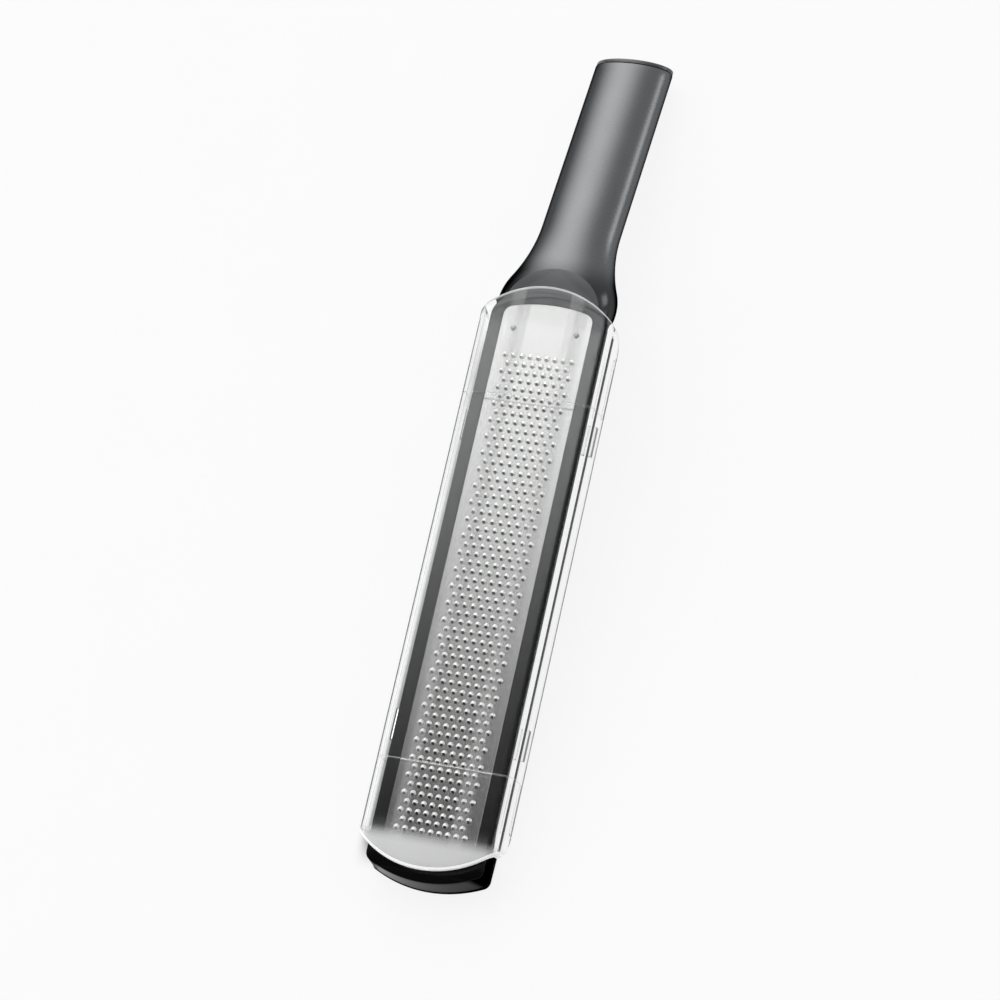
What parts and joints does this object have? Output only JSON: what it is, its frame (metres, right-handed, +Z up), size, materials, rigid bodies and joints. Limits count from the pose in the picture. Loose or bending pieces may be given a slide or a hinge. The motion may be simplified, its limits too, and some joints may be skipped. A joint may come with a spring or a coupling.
{
  "type": "fine grater",
  "caption": "Long hand grater with a narrow fine-toothed steel blade in a moulded frame, a flattened tubular handle, a soft nose foot and a clip-on clear cover.",
  "frame": {"origin": "centre of the bounding box on the table plane, below the middle of the grater's length", "axes": "+Y along the grater from nose to handle end, +Z up from the table through the teeth, +X across"},
  "size_m": [0.0558, 0.3586, 0.0425],
  "materials": {
    "frame_plastic": "satin",
    "cap_plastic": "gloss",
    "foot_rubber": "satin",
    "blade_steel": "brushed",
    "rivet_steel": "polished",
    "cover_clear": "clear"
  },
  "bodies": {
    "grater": {"handle_frame": "frame_plastic", "end_cap": "cap_plastic", "foot": "foot_rubber", "blade": "blade_steel", "rivets": "rivet_steel"},
    "cover": {"cover": "cover_clear"}
  },
  "joints": [
    {"name": "cover_lift", "type": "slide", "parent": "grater", "child": "cover", "axis": [0, -0.0992, 0.9951], "range_m": [0, 0.06]}
  ]
}
